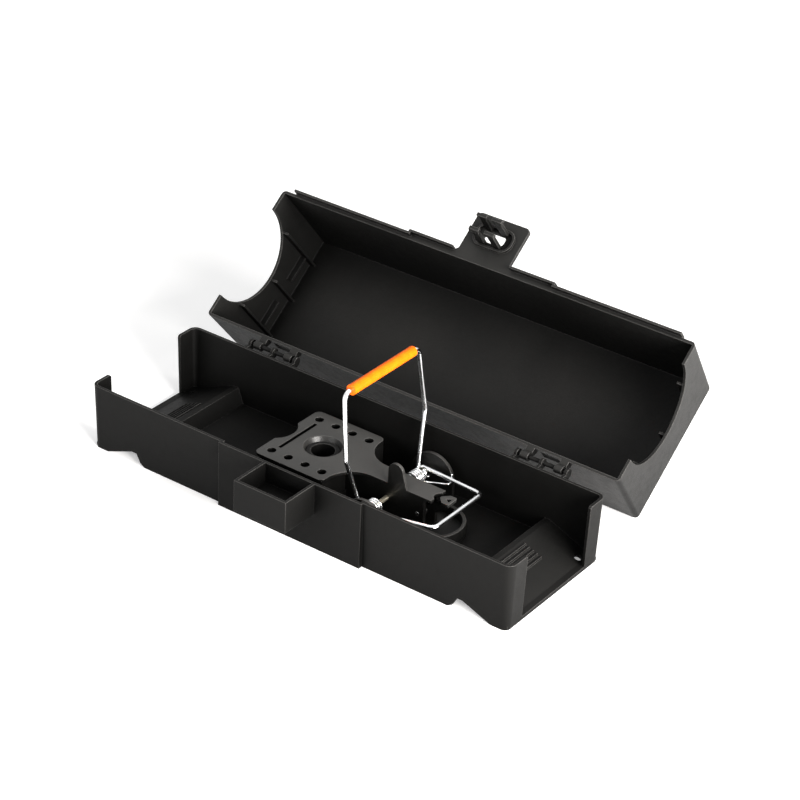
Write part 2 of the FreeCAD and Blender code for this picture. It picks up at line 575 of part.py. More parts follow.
def make_trap_base():
    body = new_body("trap_base")
    top = s.deck_height
    left, right, half, r = -s.head_left, -s.head_right, s.head_half, s.head_round
    inset = s.trap_wall / 2
    skin = s.deck_thickness

    # walls under the head, and the tub whose round nose carries the trigger
    head = box(sketch(body, "XY_Plane", "head_walls"), left + r, inset - half, right - inset, half - inset)
    pad(body, head, top - skin / 2)
    wide, wall = s.nose_radius, s.shoe_wall
    back = right - s.trap_wall * 2
    tub = outline(sketch(body, "XY_Plane", "tub"), [
        (back, -wide), (s.nose_x, -wide, wide, 1), (s.nose_x, wide), (back, wide)])
    pad(body, tub, s.shoe_height)
    plate = box(sketch(body, "XY_Plane", "cheek_plate"), s.cheek_x - s.cheek_radius,
                -s.cheek_inner - s.cheek_thickness, s.cheek_x + s.cheek_radius, s.cheek_inner + s.cheek_thickness)
    pad(body, plate, s.shoe_floor)
    hollow = outline(sketch(body, "XY_Plane", "tub_hollow", s.shoe_height + 1.0), [
        (right, wall - wide), (s.nose_x, wall - wide, wide - wall, 1), (s.nose_x, wide - wall),
        (right, wide - wall)])
    pocket(body, hollow, s.shoe_height + 1.0 - s.shoe_floor)
    under = box(sketch(body, "XY_Plane", "head_hollow"), left + r + s.trap_wall, inset + s.trap_wall - half,
                right - inset - s.trap_wall, half - inset - s.trap_wall)
    pocket(body, under, top - skin, back=True)

    # the deck: a notched head, two scallops and a spine with a hollowed end
    spine, scallop, end = s.spine_half, s.scallop_radius, s.spine_end
    low = [
        (left, r - half, r, 1), (left + r, -half), (right - r, -half, r, 1), (right, r - half),
        (right, -spine - scallop, scallop, -1), (right + scallop, -spine), (end, -spine),
        (end, -s.spine_notch, s.spine_notch + 0.6, -1)]
    high = [
        (end, s.spine_notch), (end, spine), (right + scallop, spine, scallop, -1), (right, spine + scallop),
        (right, half - r, r, 1), (right - r, half), (left + r, half, r, 1), (left, half - r),
        (left, s.notch_half, s.head_notch_radius, -1), (left, -s.notch_half)]
    deck = outline(sketch(body, "XY_Plane", "deck", top - skin), low + high)
    pad(body, deck, skin)

    # webs under the spine carry the axle and the trigger's pin
    for side, name in ((1, "rear"), (-1, "front")):
        web = box(sketch(body, "XZ_Plane", f"web_{name}", -side * (spine + s.web_inner) / 2),
                  right - inset, 0.0, s.web_end, top - skin / 2)
        pad(body, web, spine - s.web_inner, middle=True)
        round_top = s.cheek_top
        cheek = outline(sketch(body, "XZ_Plane", f"cheek_{name}",
                               -side * (s.cheek_inner + s.cheek_thickness / 2)), [
            (s.cheek_x - s.cheek_radius, 0.0), (s.cheek_x + s.cheek_radius, 0.0),
            (s.cheek_x + s.cheek_radius, round_top, s.cheek_radius, 1),
            (s.cheek_x - s.cheek_radius, round_top)])
        pad(body, cheek, s.cheek_thickness, middle=True)
    boss = circle(sketch(body, "XZ_Plane", "rear_boss", -s.boss_end), 0.0, s.axle_height, s.boss_radius)
    pad(body, boss, s.boss_end - s.web_inner - 0.4)
    bore = circle(sketch(body, "XZ_Plane", "axle_bore"), 0.0, s.axle_height, s.axle_radius + s.axle_clearance)
    pocket(body, bore, middle=True, length=s.head_half * 3)
    hole = circle(sketch(body, "XZ_Plane", "pivot_bore"), s.pivot_x, s.pivot_height,
                  s.pivot_radius + s.axle_clearance)
    pocket(body, hole, middle=True, length=s.spine_half * 3)

    # the thumb lug on the spine's front edge
    lug = outline(sketch(body, "XZ_Plane", "lug", spine - s.lug_thickness / 2), [
        (s.lug_x - s.lug_half, top - skin / 2), (s.lug_x + s.lug_half * 1.6, top - skin / 2),
        (s.lug_x + s.lug_half, top + s.lug_height - s.lug_half, s.lug_half, 1),
        (s.lug_x - s.lug_half, top + s.lug_height - s.lug_half)])
    pad(body, lug, s.lug_thickness, middle=True)

    # holes through the deck, a slot, and the funnel that the bait cup hangs in
    holes = sketch(body, "XY_Plane", "deck_holes", top)
    for i in range(4):
        for side in (-1, 1):
            circle(holes, s.hole_pitch * i - s.hole_first, side * s.hole_row, s.hole_radius)
    pocket(body, holes, skin * 1.5)
    slot = box(sketch(body, "XY_Plane", "deck_slot", top), -s.slot_x - s.slot_width / 2, -s.slot_half,
               s.slot_width / 2 - s.slot_x, s.slot_half)
    pocket(body, slot, skin * 1.5)
    mouth = circle(sketch(body, "XY_Plane", "cup_mouth", top), -s.cup_x, 0.0, s.cup_radius + 0.5)
    pocket(body, mouth, skin * 1.5)
    seat = top - s.cup_depth
    neck = s.cup_bore + s.cup_wall + s.cup_clearance
    funnel = outline(sketch(body, "XZ_Plane", "funnel"), [
        (neck, seat - skin), (s.cup_radius, seat - skin), (s.cup_radius + skin, top - skin),
        (s.cup_radius + skin, top), (s.cup_radius, top), (s.cup_radius - s.cup_ledge, seat), (neck, seat)])
    bind(funnel, "AttachmentOffset.Base.x", -s.cup_x)
    revolve(body, funnel)
    return body


def make_bait_cup():
    body = new_body("bait_cup")
    seat = s.deck_height - s.cup_depth
    outer, inner = s.cup_bore + s.cup_wall, s.cup_bore
    section = outline(sketch(body, "XZ_Plane", "cup_section"), [
        (0.0, s.cup_floor), (outer, s.cup_floor), (outer, seat), (outer + s.cup_wall, seat),
        (outer + s.cup_wall, seat + s.cup_wall), (inner, seat + s.cup_wall),
        (inner, s.cup_floor + s.cup_wall), (0.0, s.cup_floor + s.cup_wall)])
    bind(section, "AttachmentOffset.Base.x", -s.cup_x)
    revolve(body, section)
    return body


def make_pedal():
    body = new_body("trigger_pedal")
    x, z, top = s.pivot_x, s.pivot_height, s.deck_height
    under = top - s.pedal_thickness
    hub = circle(sketch(body, "XZ_Plane", "pedal_hub"), x, z, s.hub_radius)
    pad(body, hub, s.lever_half * 2, middle=True)
    lever = outline(sketch(body, "XZ_Plane", "pedal_lever"), [
        (x - 1.0, z - s.hub_radius + 0.4), (x + 2.4, z - s.hub_radius + 0.4),
        (s.pedal_end - 2.0, under - s.hub_radius), (s.pedal_end - 2.0, top - 0.4),
        (s.pedal_start + 1.8, top - 0.4), (x, z + s.hub_radius - 0.4)])
    pad(body, lever, s.lever_half, middle=True)
    half = s.pedal_half
    plate = outline(sketch(body, "XY_Plane", "pedal_plate", under), [
        (s.pedal_start, -0.8), (s.pedal_start + 3.2, -half), (s.pedal_end - 1.5, -half, 1.5, 1),
        (s.pedal_end, 1.5 - half), (s.pedal_end, half - 1.5, 1.5, 1), (s.pedal_end - 1.5, half),
        (s.pedal_start + 3.2, half), (s.pedal_start, 0.8)])
    pad(body, plate, s.pedal_thickness)
    eye = outline(sketch(body, "XY_Plane", "pedal_eye", top), [
        (s.pedal_end - 4.2, 0.0), (s.pedal_end - 1.6, -1.7), (s.pedal_end - 1.6, 1.7)])
    pocket(body, eye, s.pedal_thickness + 1.2)
    bore = circle(sketch(body, "XZ_Plane", "pedal_bore"), x, z, s.pivot_radius + s.axle_clearance)
    pocket(body, bore, middle=True, length=s.lever_half * 4)
    return body


def make_rod(name, x, z, radius, half):
    """A plain pin along Y."""
    body = new_body(name)
    rod = circle(sketch(body, "XZ_Plane", name + "_section"), x, z, radius)
    pad(body, rod, half * 2, middle=True)
    return body


# ---------------------------------------------------------------- bent wire
def bend(points, radii):
    """A run of straight edges through the points with a tangent arc at each inner corner."""
    edges, start = [], points[0]
    for before, corner, after, radius in zip(points, points[1:], points[2:], radii):
        back, ahead = (before - corner).normalize(), (after - corner).normalize()
        half = back.getAngle(ahead) / 2
        cut = radius / math.tan(half)
        first, last = corner + back * cut, corner + ahead * cut
        middle = (back + ahead).normalize()
        crown = corner + middle * (radius / math.sin(half) - radius)
        edges += [Part.makeLine(start, first), Part.Arc(first, crown, last).toShape()]
        start = last
    edges.append(Part.makeLine(start, points[-1]))
    return edges


def arc_from(start, along, end):
    """The arc that leaves start in one direction and reaches end."""
    chord = end - start
    half = chord.Length / 2
    across = along - chord * (along.dot(chord) / chord.dot(chord))
    if across.Length < 1e-9:
        return Part.makeLine(start, end)
    angle = along.getAngle(chord)
    crown = (start + end) * 0.5 + across.normalize() * (half * math.tan(angle / 2))
    return Part.Arc(start, crown, end).toShape()


def biarc(start, along, end, onward):
    """Two tangent arcs from one place and direction to another."""
    span, both = end - start, along + onward
    a, b, c = 2 * (1 - along.dot(onward)), span.dot(both), span.dot(span)
    reach = (math.sqrt(b * b + a * c) - b) / a
    joint = (start + end + (along - onward) * reach) * 0.5
    return [arc_from(start, along, joint), arc_from(end, -onward, joint)]


def tube(edges, start, along, radius, sides):
    """A solid wire along the edges: its many-sided section is swept from one edge to the next."""
    face_on = FreeCAD.Rotation(Vector(0, 0, 1), along)
    turns = [2 * math.pi * i / sides for i in range(sides)]
    spots = [start + face_on.multVec(Vector(math.cos(a), math.sin(a), 0) * radius) for a in turns]
    ring = Part.makePolygon(spots + spots[:1])
    place, faces = start, [Part.Face(ring)]
    for edge in Part.__sortEdges__(edges):
        onward = max((v.Point for v in edge.Vertexes), key=place.distanceToPoint)
        if isinstance(edge.Curve, Part.Line):
            faces += ring.extrude(onward - place).Faces
            ring = ring.translated(onward - place)
        else:
            centre, axis = edge.Curve.Center, edge.Curve.Axis
            angle = math.degrees(edge.Length / edge.Curve.Radius)
            spot = FreeCAD.Rotation(axis, angle).multVec(place - centre) + centre
            if spot.distanceToPoint(onward) > 1e-4:
                angle = -angle
            faces += ring.revolve(centre, axis, angle).Faces
            ring = ring.rotated(centre, axis, angle)
        place = onward
    faces.append(Part.Face(ring))
    skin = Part.Compound(faces)
    skin.sewShape(1e-4)
    solid = Part.Solid(skin.Shells[0] if skin.Shells else Part.Shell(skin.Faces))
    return solid if solid.Volume > 0 else solid.reversed()


def wire_piece(name, shape):
    thing = doc.addObject("Part::Feature", name)
    thing.Label = name
    thing.Shape = shape
    return thing


def eye_ends(angle, side):
    """Where a leg leaves its eye on the axle, its direction, and the eye's open end."""
    reach = s.axle_radius.value + s.axle_clearance.value + s.wire_radius.value
    along = Vector(math.cos(angle), 0, math.sin(angle))
    spots = []
    for turn in (0, 120, 240):
        around = angle + side * math.radians(90 + turn)
        spots.append(Vector(math.cos(around), 0, math.sin(around)) * reach)
    return spots, along


def make_bail_wire(name, eye_y, across, up, spots, side):
    """A U of wire with an eye at each end, drawn from the rear eye round to the front one.

    The U's corners lie in the plane that touches both eyes and holds its bar.
    """
    reach = s.axle_radius.value + s.axle_clearance.value + s.wire_radius.value
    length = math.hypot(across, up)
    angle = math.atan2(up, across) - side * math.asin(reach / length)
    (foot, around, tip), along = eye_ends(angle, side)
    height = math.sqrt(length ** 2 - reach ** 2)
    axle = Vector(0, 0, s.axle_height.value)
    corners = [(eye_y, 0.0, 0.0)] + [(y, share * height, r) for y, share, r in spots]
    line = [axle + foot + Vector(0, y, 0) + along * run for y, run, _ in corners]
    line += [axle + foot + Vector(0, -y, 0) + along * run for y, run, _ in reversed(corners)]
    radii = [r for _, _, r in corners[1:]]
    edges = bend(line, radii + radii[::-1])
    for y in (eye_y, -eye_y):
        here = axle + Vector(0, y, 0)
        edges.append(Part.Arc(here + foot, here + around, here + tip).toShape())
    turned = math.radians(240 + 90) * side + angle
    onward = Vector(-math.sin(turned), 0, math.cos(turned))
    shape = tube(edges, axle + Vector(0, eye_y, 0) + tip, onward, s.wire_radius.value, int(s.wire_sides.value))
    return wire_piece(name, shape), axle + foot + along * height


def make_grip(centre):
    grip = doc.addObject("Part::Cut", "grip_sleeve")
    grip.Label = "grip_sleeve"
    outer = doc.addObject("Part::Cylinder", "grip_outside")
    inner = doc.addObject("Part::Cylinder", "grip_bore")
    bind(outer, "Radius", s.grip_radius)
    bind(outer, "Height", s.grip_length)
    bind(inner, "Radius", s.wire_radius + s.grip_clearance)
    bind(inner, "Height", s.grip_length)
    turn = FreeCAD.Rotation(Vector(1, 0, 0), -90)
    for part in (outer, inner):
        part.Placement = FreeCAD.Placement(centre - Vector(0, s.grip_length.value / 2, 0), turn)
    grip.Base, grip.Tool = outer, inner
    return grip


def least_gap(points, wire, skip):
    """The least space between a wire's turns, from points along it."""
    least = 1e9
    for i, a in enumerate(points):
        for b in points[i + skip:]:
            least = min(least, a.distanceToPoint(b))
    return least - 2 * wire


def make_spring(name, side):
    """A torsion spring: a foot down to the tub's wall, the coil, and a leg hooked under the striker."""
    wire, r, turns = s.spring_wire.value, s.coil_radius.value, s.coil_turns.value
    pitch, first = s.coil_pitch.value, s.coil_start.value
    axle = Vector(0, 0, s.axle_height.value)
    total = 2 * math.pi * turns + math.radians(s.leg_slope.value)
    climb = pitch / (2 * math.pi)

    def spot(angle):
        return axle + Vector(r * math.cos(angle), side * (first + climb * angle), r * math.sin(angle))

    def heading(angle):
        return Vector(-r * math.sin(angle), side * climb, r * math.cos(angle)).normalize()

    steps = int(round(turns * 4))
    angles = [total * i / steps for i in range(steps + 1)]
    edges = []
    for a, b in zip(angles, angles[1:]):
        edges += biarc(spot(a), heading(a), spot(b), heading(b))
    foot_z = s.shoe_height.value + s.foot_gap.value
    foot = spot(0) - heading(0) * ((spot(0).z - foot_z) / heading(0).z)
    edges.insert(0, Part.makeLine(foot, spot(0)))

    # the leg runs straight, bends out under the striker's arm and turns up beyond it
    end, ahead = spot(total), heading(total)
    reach = s.leg_length.value
    elbow = end + ahead * reach
    arm_y = s.eye_inner.value + s.eye_pitch.value
    lean = (arm_y - s.striker_half.value) / s.striker_reach.value
    beyond = arm_y - lean * elbow.x + s.wire_radius.value + s.running_gap.value + wire
    out = Vector(elbow.x, side * beyond, elbow.z)
    tip = out + Vector(0, 0, s.wire_radius.value * 4)
    edges += bend([end, elbow, out, tip], [s.leg_bend.value] * 2)
    points = [spot(total * i / 400) for i in range(401)]
    gap = least_gap(points, wire, int(400 / turns * 0.6))
    print(f"{name}: least gap between its turns {gap:.2f} mm")
    return wire_piece(name, tube(edges, foot, heading(0), wire, int(s.spring_sides.value)))


# ---------------------------------------------------------------- building
tray = make_tray()
lid = make_lid()
turn_open(lid)
deck_half = s.cheek_inner + s.cheek_thickness
trap = [
    make_trap_base(), make_bait_cup(), make_pedal(),
    make_rod("trigger_pin", s.pivot_x, s.pivot_height, s.pivot_radius, s.spine_half),
    make_rod("axle_rod", 0.0, s.axle_height, s.axle_radius, deck_half),
    make_spring("torsion_spring_front", -1), make_spring("torsion_spring_rear", 1)]
handle, bar = make_bail_wire(
    "handle_wire", s.eye_inner.value, -s.bar_setback.value, s.bar_height.value,
    [(s.knee_half.value, s.knee_height.value / s.bar_height.value, s.knee_bend.value),
     (s.bar_half.value, 1.0, s.bend_radius.value)], 1)
striker, crossbar = make_bail_wire(
    "striker_wire", s.eye_inner.value + s.eye_pitch.value, s.striker_reach.value, s.striker_rise.value,
    [(s.striker_half.value, 1.0, s.corner_bend.value)], 1)
trap += [handle, striker, make_grip(bar)]
for piece in trap:
    place_trap(piece)
doc.recompute()

for thing in doc.Objects:
    if "Invalid" in thing.State or "Error" in thing.State:
        raise RuntimeError(f"{thing.Label} did not build: {thing.State}")
os.makedirs("parts", exist_ok=True)
for piece in [tray, lid] + trap:
    shape = piece.Shape
    if shape.isNull() or not shape.isValid() or len(shape.Solids) != 1:
        raise RuntimeError(f"{piece.Label} is not one valid solid")
    shape.exportStep(f"parts/{piece.Label}.step")
    low, high = shape.BoundBox, shape.BoundBox
    print(f"{piece.Label}: {shape.Volume:.0f} mm3, z {low.ZMin:.2f} to {high.ZMax:.2f}")
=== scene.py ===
"""Looks for the mouse-trap station: materials, the two wound springs and a studio.

All sizes are in metres, in the same frame as the model: +X along the tunnel, +Y towards the hinge, +Z up.
"""
import math

import bmesh
import bpy
from mathutils import Matrix, Vector


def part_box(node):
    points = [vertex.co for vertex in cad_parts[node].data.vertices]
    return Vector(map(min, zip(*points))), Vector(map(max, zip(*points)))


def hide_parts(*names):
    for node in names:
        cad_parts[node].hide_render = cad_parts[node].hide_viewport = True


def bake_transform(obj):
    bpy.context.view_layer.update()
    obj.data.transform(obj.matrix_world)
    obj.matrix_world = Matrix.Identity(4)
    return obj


bl_info = {
    "name": "Mouse-Trap Station Looks",
    "version": (1, 0, 0),
    "blender": (4, 5, 0),
    "location": "View3D > Sidebar > Station",
    "description": "Finishes the station's plastic, wire and grip, winds its springs and sets up the studio",
    "category": "Object",
}

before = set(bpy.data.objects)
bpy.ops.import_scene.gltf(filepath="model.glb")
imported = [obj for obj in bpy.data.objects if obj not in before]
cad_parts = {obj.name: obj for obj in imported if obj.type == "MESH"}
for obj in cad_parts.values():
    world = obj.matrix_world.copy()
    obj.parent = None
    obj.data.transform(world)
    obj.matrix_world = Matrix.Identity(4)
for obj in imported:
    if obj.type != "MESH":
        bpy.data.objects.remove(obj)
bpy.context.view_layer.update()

PLASTIC_NODES = {
    "base_tray": ("moulded_tray", 0.0),
    "station_lid": ("moulded_lid", 0.35),
    "trap_base": ("satin_deck", 1.4),
    "trigger_pedal": ("satin_pedal", 1.4),
    "bait_cup": ("cup_plastic", 0.1),
}
WIRE_NODES = ("handle_wire", "striker_wire", "trigger_pin")
# paler colour mixed into the plastic's edges: a painted highlight
EDGE_HIGHLIGHT_TONE = (0.13, 0.127, 0.122)
# near-black colour mixed into hollows by the occlusion mask: painted shade
PAINTED_HOLLOW_SHADE = (0.0015, 0.0015, 0.0014)
SPRING_TINT = (0.92, 0.93, 0.94)
BRASS_TINT = (0.8, 0.74, 0.58)

# the wound springs, in metres; distances across are from the trap's middle line
SPRING_WIRE_RADIUS = 0.0006
COIL_RADIUS = 0.00365
COIL_TURNS = 3.75
COIL_PITCH = 0.00165
COIL_START = 0.0154
FOOT_LIFT = 0.0001
LEG_SLOPE = 14.7          # degrees
LEG_LENGTH = 0.017
HOOK_RISE = 0.0048
BEND = 0.0013
BEND_SHARES = (0.0, 0.25, 0.5, 0.75, 1.0)

# the striker's arm that the leg hooks under: half the width at the axle and at the bar, and its length
ARM_AT_AXLE = 0.02645
ARM_AT_BAR = 0.0204
ARM_LENGTH = 0.0394
HOOK_BESIDE = 0.00215

# the studio: name, place, size, watts and colour of each lamp
SOFTBOXES = (
    ("right_key", (1.25, -0.3, 0.4), (0.9, 0.6), 80.0, (1.0, 0.97, 0.94)),
    ("top_box", (-0.1, 0.35, 1.5), (1.6, 1.2), 10.0, (1.0, 1.0, 1.0)),
    ("front_fill", (-0.5, -1.5, 0.7), (1.0, 0.7), 13.0, (1.0, 1.0, 1.0)),
)
LAMP_AIM = (0.0, 0.04, 0.03)
CAMERA_AIM = (-0.036863, 0.102217, 0.0)
SENSOR_WIDTH = 36.0
PAPER_SIZE = 6.0


# ---------------------------------------------------------------- node helpers
class Nodes:
    """A material's node tree, with short calls to add nodes and join them."""

    def __init__(self, name):
        self.material = bpy.data.materials.new(name)
        self.material.use_nodes = True
        self.tree = self.material.node_tree
        self.tree.nodes.clear()
        self.out = self.add("ShaderNodeOutputMaterial")

    def add(self, kind, **settings):
        node = self.tree.nodes.new(kind)
        for key, value in settings.items():
            setattr(node, key, value)
        return node

    def join(self, source, target):
        self.tree.links.new(source, target)

    def noise(self, where, scale, detail=3.0, roughness=0.5):
        node = self.add("ShaderNodeTexNoise")
        node.inputs["Scale"].default_value = scale
        node.inputs["Detail"].default_value = detail
        node.inputs["Roughness"].default_value = roughness
        self.join(where, node.inputs["Vector"])
        return node.outputs["Fac"]

    def ramp(self, source, low, high, start=0.3, end=0.7):
        node = self.add("ShaderNodeMapRange")
        node.inputs["From Min"].default_value = start
        node.inputs["From Max"].default_value = end
        node.inputs["To Min"].default_value = low
        node.inputs["To Max"].default_value = high
        self.join(source, node.inputs["Value"])
        return node.outputs["Result"]

    def colours(self, factor, first, second):
        node = self.add("ShaderNodeMix", data_type="RGBA")
        node.inputs[6].default_value = (*first, 1)
        node.inputs[7].default_value = (*second, 1)
        self.join(factor, node.inputs[0])
        return node.outputs[2]

    def bump(self, height, depth, normal=None):
        node = self.add("ShaderNodeBump")
        node.inputs["Strength"].default_value = 1.0
        node.inputs["Distance"].default_value = depth
        self.join(height, node.inputs["Height"])
        if normal is not None:
            self.join(normal, node.inputs["Normal"])
        return node.outputs["Normal"]


def finish_piece(obj, material):
    """Gives the piece this material alone."""
    obj.data.materials.clear()
    obj.data.materials.append(material)


def smooth_piece(obj, angle):
    """Shades the piece smooth except at corners sharper than the angle."""
    mesh = obj.data
    mesh.shade_smooth()
    mesh.set_sharp_from_angle(angle=math.radians(angle))


# ---------------------------------------------------------------- materials
def plastic_material(name, gloss, settings):
    """Black moulded plastic: fine grain, faint flow marks, a painted highlight on its edges and painted
    shade in its hollows.
    """
    n = Nodes(name)
    where = n.add("ShaderNodeTexCoord").outputs["Object"]
    shader = n.add("ShaderNodeBsdfPrincipled")
    flow = n.noise(where, 22.0, 4.0)
    grain = n.noise(where, settings.grain_scale, 2.0, 0.6)
    dust = n.noise(where, 260.0, 6.0, 0.7)
    tone = settings.plastic_tone * (1 + 3 * gloss)
    dark = tuple(tone * v for v in (1.0, 1.0, 0.97))
    light = tuple(tone * 1.5 * v for v in (1.02, 1.0, 0.95))
    body = n.colours(n.ramp(flow, 0.0, 1.0), dark, light)

    # where the rounded normal leaves the true one, there is an edge, and edges are painted paler as a
    # painted highlight
    rounded = n.add("ShaderNodeBevel", samples=6)
    rounded.inputs["Radius"].default_value = settings.edge_radius
    agree = n.add("ShaderNodeVectorMath", operation="DOT_PRODUCT")
    n.join(rounded.outputs["Normal"], agree.inputs[0])
    n.join(n.add("ShaderNodeNewGeometry").outputs["Normal"], agree.inputs[1])
    edge = n.ramp(agree.outputs["Value"], settings.edge_highlight, 0.0, 0.82, 0.99)
    highlighted_edge = n.add("ShaderNodeMix", data_type="RGBA")
    highlighted_edge.inputs[7].default_value = (*EDGE_HIGHLIGHT_TONE, 1)
    n.join(edge, highlighted_edge.inputs[0])
    n.join(body, highlighted_edge.inputs[6])

    rough = settings.plastic_roughness - 0.12 * gloss
    rougher = n.add("ShaderNodeMath", operation="ADD")
    n.join(n.ramp(flow, rough - 0.05, rough + 0.05), rougher.inputs[0])
    n.join(n.ramp(dust, 0.0, 0.09, 0.45, 0.75), rougher.inputs[1])
    n.join(rougher.outputs[0], shader.inputs["Roughness"])
    shader.inputs["IOR"].default_value = 1.25

    # deep hollows are painted darker, by how closely walls surround them: painted shade
    around = n.add("ShaderNodeAmbientOcclusion", samples=8)
    around.inputs["Distance"].default_value = settings.painted_shade_reach
    openness = n.ramp(around.outputs["AO"], 0.0, 1.0, 0.40, 0.88)
    shaded = n.add("ShaderNodeMix", data_type="RGBA")
    shaded.inputs[6].default_value = (*PAINTED_HOLLOW_SHADE, 1)
    n.join(openness, shaded.inputs[0])
    n.join(highlighted_edge.outputs[2], shaded.inputs[7])
    n.join(shaded.outputs[2], shader.inputs["Base Color"])
    shader.inputs["Specular IOR Level"].default_value = settings.plastic_shine * (1 + gloss)
    skin = n.bump(grain, settings.grain_depth, rounded.outputs["Normal"])
    n.join(skin, shader.inputs["Normal"])
    n.join(shader.outputs[0], n.out.inputs["Surface"])
    return n.material


def wire_material(name, tint, rough):
    """Drawn wire: bright metal with a faint unevenness and a little tarnish."""
    n = Nodes(name)
    where = n.add("ShaderNodeTexCoord").outputs["Object"]
    shader = n.add("ShaderNodeBsdfPrincipled")
    tarnish = n.noise(where, 140.0, 5.0)
    dents = n.noise(where, 900.0, 2.0)
    dull = tuple(v * 0.82 for v in tint)
    metal = n.colours(n.ramp(tarnish, 0.0, 1.0, 0.35, 0.75), tint, dull)
    n.join(metal, shader.inputs["Base Color"])
    n.join(n.ramp(tarnish, rough, rough + 0.1), shader.inputs["Roughness"])
    shader.inputs["Metallic"].default_value = 1.0
    rounded = n.add("ShaderNodeBevel", samples=8)
    rounded.inputs["Radius"].default_value = SPRING_WIRE_RADIUS
    n.join(n.bump(dents, 0.000003, rounded.outputs["Normal"]), shader.inputs["Normal"])
    n.join(shader.outputs[0], n.out.inputs["Surface"])
    return n.material


def grip_material(name, settings):
    """Soft orange tube: a faint mottle, a waxy sheen and a fine leathery skin."""
    n = Nodes(name)
    where = n.add("ShaderNodeTexCoord").outputs["Object"]
    shader = n.add("ShaderNodeBsdfPrincipled")
    mottle = n.noise(where, 190.0, 4.0)
    skin = n.noise(where, 1500.0, 3.0)
    orange = n.colours(n.ramp(mottle, 0.0, 1.0), settings.grip_colour, settings.grip_mottle)
    n.join(orange, shader.inputs["Base Color"])
    n.join(n.ramp(skin, 0.4, 0.5), shader.inputs["Roughness"])
    shader.inputs["Specular IOR Level"].default_value = 0.15
    shader.inputs["Subsurface Weight"].default_value = 0.05
    shader.inputs["Subsurface Radius"].default_value = (0.002, 0.0008, 0.0002)
    shader.inputs["Coat Weight"].default_value = 0.03
    shader.inputs["Coat Roughness"].default_value = 0.3
    n.join(n.bump(skin, 0.00003), shader.inputs["Normal"])
    n.join(shader.outputs[0], n.out.inputs["Surface"])
    return n.material


# ---------------------------------------------------------------- wound springs
def axle_centre():
    low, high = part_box("axle_rod")
    return (Vector(low) + Vector(high)) / 2


def spring_line(side, coil_steps):
    """The spring's centre line: its foot, the coil, and the leg hooked under the striker's arm."""
    axle = axle_centre()
    climb = COIL_PITCH / (2 * math.pi)
    total = 2 * math.pi * COIL_TURNS + math.radians(LEG_SLOPE)
    foot_low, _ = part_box("torsion_spring_rear")
    line = [Vector((axle.x + COIL_RADIUS, axle.y + side * COIL_START, foot_low[2] + FOOT_LIFT))]
    steps = int(coil_steps * COIL_TURNS)
    for i in range(steps + 1):
        a = total * i / steps
        line.append(axle + Vector((
            COIL_RADIUS * math.cos(a), side * (COIL_START + climb * a), COIL_RADIUS * math.sin(a))))

    # the leg leaves the coil along its tangent, then goes out past the striker's arm and up
    ahead = Vector((-math.sin(total), side * climb / COIL_RADIUS, math.cos(total))).normalized()
    elbow = line[-1] + ahead * LEG_LENGTH
    taper = (ARM_AT_AXLE - ARM_AT_BAR) / ARM_LENGTH
    beyond = ARM_AT_AXLE - taper * (elbow.x - axle.x) + HOOK_BESIDE
    out = Vector((elbow.x, axle.y + side * beyond, elbow.z))
    tip = out + Vector((0, 0, HOOK_RISE))
    for before, corner, after in ((line[-1], elbow, out), (elbow, out, tip)):
        back, on = (before - corner).normalized(), (after - corner).normalized()
        for share in BEND_SHARES:
            line.append(corner + back * BEND * (1 - share) ** 2 + on * BEND * share ** 2)
    line.append(tip)
    return line


def wind_spring(name, side, coil_steps):
    """A round wire along the spring's line, as a mesh piece."""
    curve = bpy.data.curves.new(name + "_line", "CURVE")
    curve.dimensions = "3D"
    curve.bevel_depth = SPRING_WIRE_RADIUS
    curve.bevel_resolution = 3
    curve.use_fill_caps = True
    line = spring_line(side, coil_steps)
    spline = curve.splines.new("POLY")
    spline.points.add(len(line) - 1)
    for point, place in zip(spline.points, line):
        point.co = (*place, 1)
    holder = bpy.data.objects.new(name + "_line", curve)
    bpy.context.collection.objects.link(holder)
    bpy.context.view_layer.update()
    mesh = bpy.data.meshes.new_from_object(holder)
    bpy.data.objects.remove(holder)
    piece = bpy.data.objects.new(name, mesh)
    bpy.context.collection.objects.link(piece)
    smooth_piece(piece, angle=50)
    return piece


# ---------------------------------------------------------------- studio
def add_softbox(name, place, size, watts, colour):
    """A rectangular lamp that faces the station."""
    light = bpy.data.lights.new(name, "AREA")
    light.shape = "RECTANGLE"
    light.size, light.size_y = size
    light.energy = watts
    light.color = colour
    lamp = bpy.data.objects.new(name, light)
    lamp.location = place
    lamp.rotation_euler = (Vector(LAMP_AIM) - lamp.location).to_track_quat("-Z", "Y").to_euler()
    bpy.context.collection.objects.link(lamp)


def rays_that_see(tree):
    """One for rays from the eye, from a mirror and through glass: bright metal shows the white room."""
    path = tree.nodes.new("ShaderNodeLightPath")
    seen = path.outputs["Is Camera Ray"]
    for also in ("Is Glossy Ray", "Is Transmission Ray"):
        either = tree.nodes.new("ShaderNodeMath")
        either.operation = "MAXIMUM"
        tree.links.new(seen, either.inputs[0])
        tree.links.new(path.outputs[also], either.inputs[1])
        seen = either.outputs[0]
    return seen


def floor_material(glow):
    """White paper: it glows a little to the eye, so that only soft shadows darken it."""
    n = Nodes("studio_paper")
    where = n.add("ShaderNodeTexCoord").outputs["Object"]
    fibre = n.noise(where, 60.0, 3.0)
    paper = n.add("ShaderNodeBsdfDiffuse")
    white = n.colours(n.ramp(fibre, 0.0, 1.0), (0.86, 0.86, 0.86), (0.88, 0.88, 0.88))
    n.join(white, paper.inputs["Color"])
    lit = n.add("ShaderNodeEmission")
    strength = n.add("ShaderNodeMath", operation="MULTIPLY")
    strength.inputs[1].default_value = glow
    n.join(rays_that_see(n.tree), strength.inputs[0])
    n.join(strength.outputs[0], lit.inputs["Strength"])
    both = n.add("ShaderNodeAddShader")
    n.join(paper.outputs[0], both.inputs[0])
    n.join(lit.outputs[0], both.inputs[1])
    n.join(both.outputs[0], n.out.inputs["Surface"])
    return n.material


